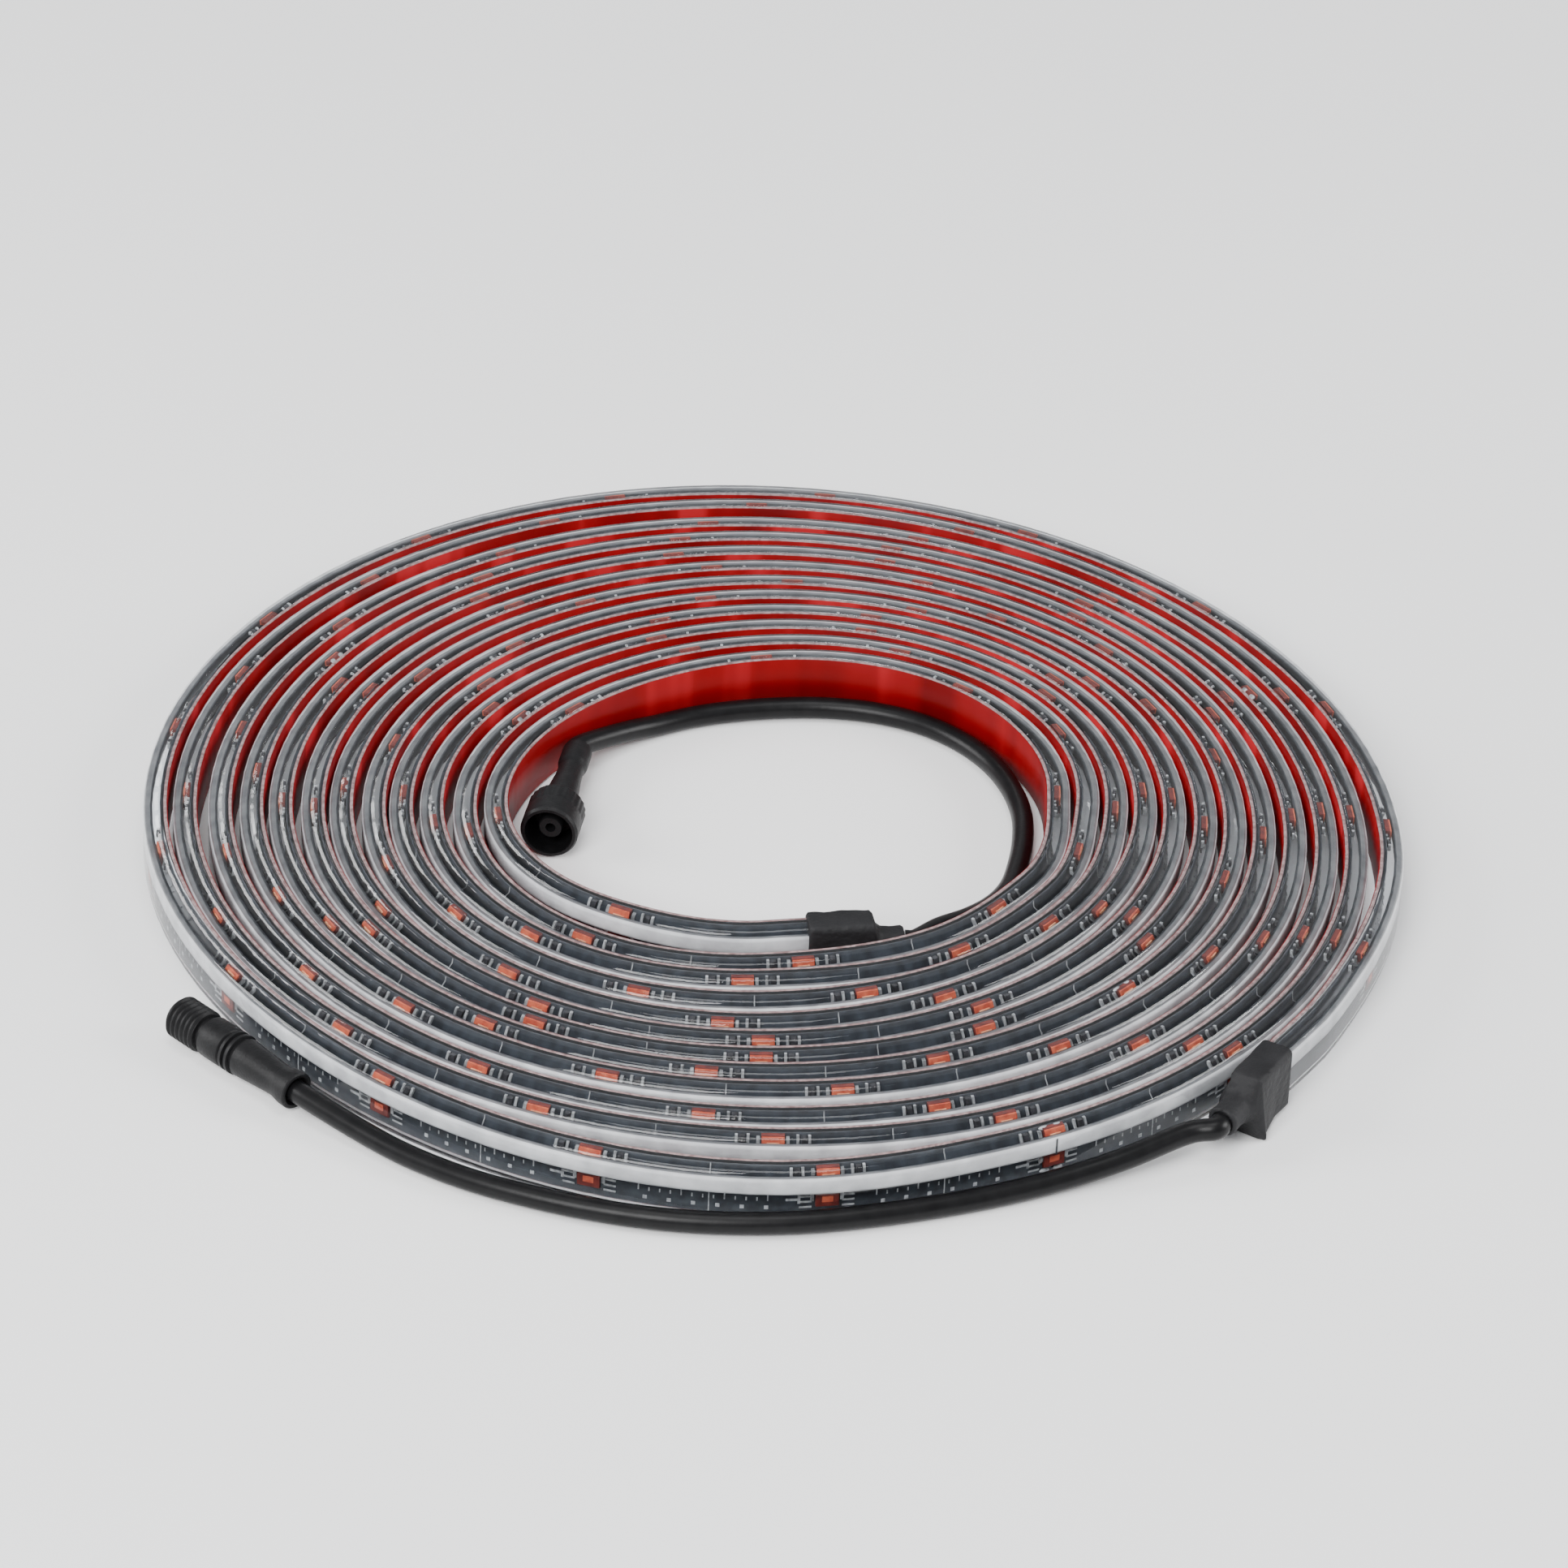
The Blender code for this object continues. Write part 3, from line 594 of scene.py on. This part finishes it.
def cad_section(angle, neighbour):
    """The frame's own axes at an end of the strip: its base, out of the strip and inwards."""
    base = spiral_point(angle) - MIDDLE
    other = spiral_point(neighbour) - MIDDLE
    along = (base - other).normalized()
    inwards = Vector((-along.y, along.x, 0.0))
    if inwards.dot(base + MIDDLE) > 0.0:
        inwards.negate()
    base.z = END_LIFT
    return base, along, inwards


def polar(angle, radius, height):
    """A point of a lead's route, in the frame's own coordinates."""
    a = math.radians(angle)
    return Vector((radius * math.cos(a), radius * math.sin(a), height)) - MIDDLE


def smooth_curve(points, samples):
    """A smooth path through all the points, with so many samples from each to the next."""
    points = [2.0 * points[0] - points[1]] + points + [2.0 * points[-1] - points[-2]]
    curve = []
    for a, b, c, d in zip(points, points[1:], points[2:], points[3:]):
        for k in range(samples):
            t = k / samples
            part = 2.0 * b + (c - a) * t + (2.0 * a - 5.0 * b + 4.0 * c - d) * t * t
            curve.append(0.5 * (part + (3.0 * b - a - 3.0 * c + d) * t * t * t))
    curve.append(points[-2])
    return curve


def plug_place(plug):
    """Where a plug stands: its axis is local Z, which runs from the lead to the plug's tip."""
    at, points, height = plug
    turn = Matrix.Rotation(math.radians(points), 4, "Z") @ Matrix.Rotation(math.pi / 2.0, 4, "Y")
    return Matrix.Translation(Vector((*at, height)) - MIDDLE) @ turn


def lead(name, cap, ends, route, plug, node):
    """A lead on the route of the frame's own tube, as one smooth round cord."""
    base, along, inwards = cad_section(*ends)
    nose, neck, shift = cap[1:]
    start = base + along * (nose + neck + CORD_GAP) + inwards * (STRIP_DEPTH / 2.0 - shift)
    start.z += HEIGHT / 2.0
    place = plug_place(plug)
    end = place @ Vector((0.0, 0.0, RECESS - CORD_GAP))
    before = place @ Vector((0.0, 0.0, -CORD_RADIUS))
    points = [start, start + along * CORD_RADIUS] + [polar(*p) for p in route] + [before, end]
    path = smooth_curve(points, CORD_SAMPLES)
    data = bpy.data.curves.new(name, "CURVE")
    data.dimensions = "3D"
    data.bevel_depth = CORD_RADIUS
    data.bevel_resolution = CORD_ROUNDNESS
    data.use_fill_caps = True
    spline = data.splines.new("POLY")
    spline.points.add(len(path) - 1)
    for spot, position in zip(spline.points, path):
        spot.co = (*position, 1.0)
    spline.use_smooth = True
    data.materials.append(MATERIALS["cord"])
    obj = bpy.data.objects.new(name, data)
    bpy.context.scene.collection.objects.link(obj)
    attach(obj, "strip")
    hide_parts(node)


# Connectors


def turned(name, profile, place, material, body, replaces, sides=64, closed_ring=False, shape=None):
    """A turned body from (distance, radius) points; shape may change a radius at a given place."""
    bm = bmesh.new()
    rings = []
    for distance, radius in profile:
        ring = []
        for i in range(1 if radius == 0.0 else sides):
            a = 2.0 * math.pi * i / sides
            r = shape(distance, radius, a) if shape and radius else radius
            ring.append(bm.verts.new(place @ Vector((r * math.cos(a), r * math.sin(a), distance))))
        rings.append(ring)
    following = rings[1:] + (rings[:1] if closed_ring else [])
    for first, second in zip(rings, following):
        if len(first) == 1 or len(second) == 1:
            tip, ring = (first[0], second) if len(first) == 1 else (second[0], first)
            for i in range(sides):
                bm.faces.new((tip, ring[i - 1], ring[i]))
        else:
            for i in range(sides):
                j = (i + 1) % sides
                bm.faces.new((first[i], first[j], second[j], second[i]))
    return add_piece(name, bm, material, body, replaces, sharp=28.0)


def male_plug():
    """The threaded plug: sleeve, two rings, collar, groove, thread and the hollow tip with its pin."""
    place = plug_place(MALE_PLUG)
    profile = [(0.0012, 0.0), (0.0012, 0.0021), (0.0003, 0.0021), (0.0, 0.0023), (0.0, 0.0027)]
    profile += [(0.0002, 0.0029), (0.0014, 0.0029), (0.0020, 0.0028), (0.0030, 0.0026), (0.0036, 0.0025)]
    profile += [(0.0052, 0.00258), (0.0085, 0.0028), (0.0113, 0.0030), (0.0115, 0.0030), (0.0116, 0.0028)]
    for k in range(2):
        s = 0.0118 + 0.0012 * k
        profile += [(s, 0.0027), (s + 0.0004, 0.0027), (s + 0.0005, 0.0032), (s + 0.0010, 0.0032)]
    profile += [(0.0143, 0.0027), (0.0146, 0.0031), (0.0149, 0.0032), (0.0185, 0.0032), (0.0188, 0.0031)]
    profile += [(0.0190, 0.0025), (0.0199, 0.0025), (0.0200, 0.0030)]
    for k in range(6):
        s = 0.0201 + 0.00096 * k
        profile += [(s, 0.00300), (s + 0.0003, 0.00335), (s + 0.0005, 0.00335), (s + 0.0008, 0.00300)]
    profile += [(0.0259, 0.0029), (0.0260, 0.0028), (0.0260, 0.0024), (0.0210, 0.0024), (0.0210, 0.0)]
    body = turned("outer_plug_look", profile, place, "plug", "strip", ("outer_plug_body",))
    pin = [(0.0213, 0.0), (0.0213, 0.0007), (0.0249, 0.0007), (0.0253, 0.0004), (0.0253, 0.0)]
    pins = turned("outer_pin_look", pin, place, "brass", "strip", ("outer_plug_pin",), 24)
    return [body, pins]


def female_plug():
    """The socket plug: sleeve, flange and bored tongue, with the coupling nut round them."""
    place = plug_place(FEMALE_PLUG)
    profile = [(0.0012, 0.0), (0.0012, 0.0021), (0.0002, 0.0021), (0.0, 0.0022), (0.0001, 0.0023)]
    profile += [(0.0012, 0.00234), (0.0040, 0.00234), (0.0045, 0.00225), (0.0052, 0.0020), (0.0056, 0.0020)]
    profile += [(0.0080, 0.0021), (0.0120, 0.0025), (0.0141, 0.0026), (0.0171, 0.0026), (0.0171, 0.0033)]
    profile += [(0.0181, 0.0033), (0.0181, 0.0019), (0.0216, 0.0019), (0.0220, 0.0017), (0.0220, 0.0008)]
    profile += [(0.0190, 0.0008), (0.0190, 0.0)]
    body = turned("inner_plug_look", profile, place, "plug", "strip", ("inner_plug_body",))
    start = 0.01575
    length = 0.0078
    inner = 0.00375
    rib_count = 24
    rib_depth = 0.00012
    ring = [(start, 0.00295), (start, 0.0037), (start + 0.0004, 0.0042), (start + 0.0009, 0.0045)]
    ring += [(start + 0.0035, 0.0045), (start + 0.0038, 0.0044), (start + 0.0041, 0.0045)]
    ring += [(start + length - 0.0005, 0.0045), (start + length, 0.0042), (start + length, inner)]
    ring += [(start + 0.0010, inner), (start + 0.0010, 0.00295)]

    def ribs(distance, radius, a):
        gripped = start + 0.0005 < distance < start + 0.0036 and radius > 0.004
        return radius - rib_depth * (0.5 + 0.5 * math.cos(rib_count * a)) if gripped else radius

    nut = turned(
        "coupling_nut_look", ring, place, "plug", "nut", ("coupling_nut",), 144, True, ribs
    )
    return [body, nut]


place_camera()
outer_carried = male_plug()
inner_carried = female_plug()
lead("outer_lead", OUTER_CAP, (START, START + STEP), OUTER_ROUTE, MALE_PLUG, "outer_cord")
lead("inner_lead", INNER_CAP, (END, END - STEP), INNER_ROUTE, FEMALE_PLUG, "inner_cord")


# The strip's layers
sweep("jacket_look", rounded(*JACKET), "jacket", ("clear_jacket",))
sweep(
    "diffuser_look",
    rounded(*DIFFUSER),
    "diffuser",
    ("diffuser_rod",),
    trim=LAYER_TRIM,
    paint=DIFFUSER_PAINT,
    others=("diffuser_top_painted_shade", "seam_and_painted_shade"),
)
sweep("board_look", rounded(*BOARD), "board", ("circuit_board",), trim=LAYER_TRIM)
sweep("foam_look", rounded(*FOAM), "foam")
sweep("liner_look", rounded(*LINER), "liner", ("backing_tape",), wave=LINER_WAVE)


# What is mounted and printed on the board


def led_places():
    """How far along the strip each LED sits, counted both ways from one that the photo shows."""
    shown = float(np.interp(LED_SHOWN_ANGLE, angles, run))
    before = int((shown - LED_END_ROOM) / LED_PITCH)
    return np.arange(shown - before * LED_PITCH, run[-1] - LED_END_ROOM, LED_PITCH)


def beside(bm, s, side, along, front, height):
    """A block on the board to one side of an LED."""
    block(bm, s, sorted(side * a for a in along), (front, BOARD_FACE), height)


def build_leds():
    housings, lenses, cores, pads, chips = (bmesh.new() for _ in range(5))
    for place in led_places():
        s = section_at(place)
        block(housings, s, *LED_HOUSING)
        # The face's lower half goes in the housing's dark red, painted as the shade under the diffuser
        block(housings, s, *LED_LOWER_FACE)
        block(lenses, s, *LED_UPPER_FACE)
        block(lenses, s, *LED_LOWER_CORE)
        block(cores, s, *LED_UPPER_CORE)
        for side in (-1.0, 1.0):
            for pad in PADS:
                beside(pads, s, side, *pad)
            beside(chips, s, side, *RESISTOR)
            for row in range(TRACKS):
                low = TRACK_FOOT + TRACK_SPACING * row
                beside(pads, s, side, *TRACK, (low, low + TRACK_WIDTH))
    add_piece("led_housings", housings, "led_painted_shade")
    add_piece("led_lenses", lenses, "led")
    add_piece("led_cores", cores, "phosphor")
    add_piece("solder_pads", pads, "solder")
    add_piece("resistors", chips, "chip")


def build_prints():
    """Small generic marks: a row of ticks, dots, an arrow and a cut mark between two LEDs."""
    bm = bmesh.new()

    def mark(place, along, height):
        block(bm, section_at(place), along, PRINT_DEPTH, height)

    for led in led_places()[:-1]:
        for k in range(TICKS):
            tall = SHORT_TICK if k % TICKS_A_LONG_ONE else LONG_TICK
            mark(led + FIRST_TICK + TICK_SPACING * k, TICK_LIMITS, (TICK_FOOT, TICK_FOOT + tall))
        for k in range(DOTS):
            mark(led + FIRST_DOT + DOT_SPACING * k, *DOT)
        mark(led + ARROW_PLACE, *ARROW_SHAFT)
        mark(led + ARROW_PLACE, *ARROW_HEAD)
        mark(led + CUT_LINE_PLACE, *CUT_LINE)
    add_piece("board_prints", bm, "print")


def build_joints():
    """Lengths of board are soldered end to end: a dark cut across the diffuser, and blobs of solder."""
    cuts, blobs = bmesh.new(), bmesh.new()
    for place in np.arange(FIRST_JOINT, run[-1] - LED_PITCH, LEDS_A_JOINT * LED_PITCH):
        s = section_at(place)
        block(cuts, s, *SEAM)
        for height in BLOB_HEIGHTS:
            for side in (-1.0, 1.0):
                for v in bmesh.ops.create_icosphere(blobs, subdivisions=2, radius=1.0)["verts"]:
                    lump = 1.0 + BLOB_LUMP * noise.noise(v.co * 1.5 + s.base * 900.0)
                    d, h, a = (size * (lump * c) for size, c in zip(BLOB_RADII, v.co))
                    v.co = s.at(BLOB_DEPTH + d, height + h, side * BLOB_OFFSET + a)
    add_piece("diffuser_cuts", cuts, "seam_and_painted_shade")
    add_piece("solder_blobs", blobs, "solder")


build_leds()
build_prints()
build_joints()


# Heat-shrink caps


def cap_look(name, ends, cap, flare, node):
    """A shrunk boot: it hugs the strip, closes over its end and narrows to the lead."""
    base, along, inwards = cad_section(*ends)
    cover, nose, neck, shift = cap
    centre = (STRIP_DEPTH / 2.0 - shift, HEIGHT / 2.0)

    def box(margin, corner):
        d, h = STRIP_DEPTH + margin, HEIGHT + margin
        return rounded(-margin, d, -margin, h, corner, corner, CAP_CORNER_STEPS)

    def tube(radius):
        d, h = centre
        return rounded(d - radius, d + radius, h - radius, h + radius, radius, radius, CAP_CORNER_STEPS)

    keys = [(-cover, box(0.0004, 0.0008), 0.0), (-cover + 0.0003, box(0.00075, 0.0010), 0.0)]
    keys += [(-cover * 0.5, box(0.0007, 0.0011), 0.0), (0.0, box(0.00075, 0.0011), 0.5)]
    keys += [(nose - 0.0004, box(0.0007, 0.0013), 1.0), (nose, box(0.0004, 0.0014), 1.0)]
    keys += [(nose + 0.0006, tube(0.0031), 0.0), (nose + 0.0014, tube(0.0025), 0.0)]
    keys += [(nose + 0.6 * neck, tube(0.0023), 0.0), (nose + neck - 0.0003, tube(0.0024), 0.0)]
    keys += [(nose + neck, tube(0.0022), 0.0), (nose + neck, tube(0.0018), 0.0)]
    keys += [(nose + neck - 0.0010, tube(0.0018), 0.0)]
    rings = []
    for (s0, outline0, f0), (s1, outline1, f1) in zip(keys, keys[1:]):
        steps = max(int(abs(s1 - s0) / CAP_RING_SPACING), 1)
        for k in range(steps):
            t = k / steps
            ring = []
            for (d0, h0), (d1, h1) in zip(outline0, outline1):
                d, h = d0 + (d1 - d0) * t, h0 + (h1 - h0) * t
                low = max(0.0, 1.0 - h / 0.0030) if d < STRIP_DEPTH / 2.0 else 0.0
                d -= flare * (f0 + (f1 - f0) * t) * low
                ring.append(base + inwards * d + along * (s0 + (s1 - s0) * t) + Vector((0.0, 0.0, h)))
            rings.append(ring)
    bm = bmesh.new()
    skin(bm, rings)
    for v in bm.verts:
        v.co += Vector((0.0, 0.0, 1.0)) * CAP_LUMP * noise.noise(v.co * CAP_LUMPS_A_METRE)
    add_piece(name, bm, "shrink", replaces=(node,), sharp=60.0)


cap_look("outer_cap_look", (START, START + STEP), OUTER_CAP, OUTER_CAP_FLARE, "outer_end_cap")
cap_look("inner_cap_look", (END, END - STEP), INNER_CAP, INNER_CAP_FLARE, "inner_end_cap")


# Floor and light


def stage():
    bm = bmesh.new()
    bmesh.ops.create_grid(bm, x_segments=1, y_segments=1, size=FLOOR_SIZE)
    mesh = bpy.data.meshes.new("floor")
    bm.to_mesh(mesh)
    bm.free()
    mesh.materials.append(MATERIALS["floor"])
    floor = bpy.data.objects.new("floor", mesh)
    floor.location.z = -FLOOR_DROP
    bpy.context.scene.collection.objects.link(floor)
    world = bpy.data.worlds.new("studio")
    world.use_nodes = True
    sky = world.node_tree.nodes["Background"]
    sky.inputs["Color"].default_value = SKY_COLOR
    sky.inputs["Strength"].default_value = SKY_STRENGTH
    bpy.context.scene.world = world
    for name, spot, size, power in LAMPS:
        data = bpy.data.lights.new(name, "AREA")
        data.size = size
        data.energy = power
        lamp = bpy.data.objects.new(name, data)
        lamp.location = spot
        lamp.rotation_euler = (-Vector(spot)).to_track_quat("-Z", "Y").to_euler()
        bpy.context.scene.collection.objects.link(lamp)


stage()
